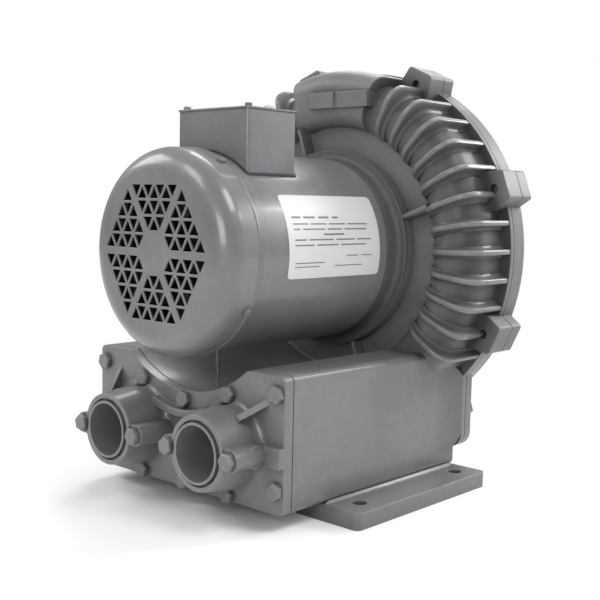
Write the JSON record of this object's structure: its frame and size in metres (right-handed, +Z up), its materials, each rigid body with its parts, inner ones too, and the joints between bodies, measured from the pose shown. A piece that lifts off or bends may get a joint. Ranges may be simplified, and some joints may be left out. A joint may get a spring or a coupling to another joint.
{
  "type": "side channel blower",
  "caption": "Side channel blower: ribbed ring housing on a muffler box with foot rails, two round front ports and a fan-cooled motor with conduit box in the cradle.",
  "frame": {"origin": "centre of the four foot holes, on the underside of the feet", "axes": "+X to the right seen from the ports, +Y back along the motor shaft from the ports to the ring housing, +Z up"},
  "size_m": [0.3436, 0.325, 0.3813],
  "materials": {
    "housing_paint": "semi-gloss grey paint on cast aluminium",
    "motor_paint": "semi-gloss grey paint on steel and cast metal",
    "painted_bolts": "grey paint over steel bolts",
    "zinc_steel": "zinc plated steel",
    "gasket": "black gasket sheet and seal rubber",
    "foam": "open-cell foam",
    "core_steel": "laminated steel",
    "copper": "varnished copper windings",
    "cast_aluminium": "as cast",
    "ground_steel": "ground steel",
    "cage_steel": "pressed steel",
    "fan_plastic": "moulded black plastic",
    "block_plastic": "moulded black plastic"
  },
  "bodies": {
    "blower_body": {"blower_housing": "housing_paint", "housing_cover": "housing_paint", "manifold_cover": "housing_paint", "motor_frame": "motor_paint", "fan_end_bell": "motor_paint", "drive_end_bell": "motor_paint", "fan_cover": "motor_paint", "conduit_box": "motor_paint", "conduit_box_lid": "motor_paint", "inlet_tube": "motor_paint", "outlet_tube": "motor_paint", "cover_bolts": "painted_bolts", "manifold_bolts": "painted_bolts", "port_bolts": "painted_bolts", "fan_cover_screws": "painted_bolts", "conduit_lid_screws": "painted_bolts", "motor_mount_bolts": "zinc_steel", "through_bolts": "zinc_steel", "conduit_box_screws": "zinc_steel", "ground_screw": "zinc_steel", "cover_gasket": "gasket", "manifold_gasket": "gasket", "conduit_box_gasket": "gasket", "shaft_seal": "gasket", "inlet_muffler_foam": "foam", "outlet_muffler_foam": "foam", "stator_core": "core_steel", "stator_windings": "copper", "fan_bearing_outer_ring": "ground_steel", "drive_bearing_outer_ring": "ground_steel", "wave_spring": "ground_steel", "terminal_block": "block_plastic"},
    "rotor": {"motor_shaft": "ground_steel", "rotor_core": "core_steel", "rotor_end_rings": "cast_aluminium", "cooling_fan": "fan_plastic", "fan_clip": "zinc_steel", "impeller": "cast_aluminium", "impeller_key": "ground_steel", "impeller_washer": "zinc_steel", "impeller_bolt": "zinc_steel", "fan_bearing_inner_ring": "ground_steel", "drive_bearing_inner_ring": "ground_steel"},
    "fan_bearing_rollers": {"fan_bearing_balls": "ground_steel", "fan_bearing_cage": "cage_steel"},
    "drive_bearing_rollers": {"drive_bearing_balls": "ground_steel", "drive_bearing_cage": "cage_steel"}
  },
  "joints": [
    {"name": "shaft_spin", "type": "hinge", "parent": "blower_body", "child": "rotor", "pos_m": [0, 0, 0.2095], "axis": [0, 1, 0], "continuous": true},
    {"name": "fan_balls_spin", "type": "hinge", "parent": "blower_body", "child": "fan_bearing_rollers", "pos_m": [0, 0, 0.2095], "axis": [0, 1, 0], "continuous": true},
    {"name": "drive_balls_spin", "type": "hinge", "parent": "blower_body", "child": "drive_bearing_rollers", "pos_m": [0, 0, 0.2095], "axis": [0, 1, 0], "continuous": true}
  ],
  "couplings": [
    {"joint": "fan_balls_spin", "follows": "shaft_spin", "ratio": 0.3807},
    {"joint": "drive_balls_spin", "follows": "shaft_spin", "ratio": 0.3974}
  ]
}
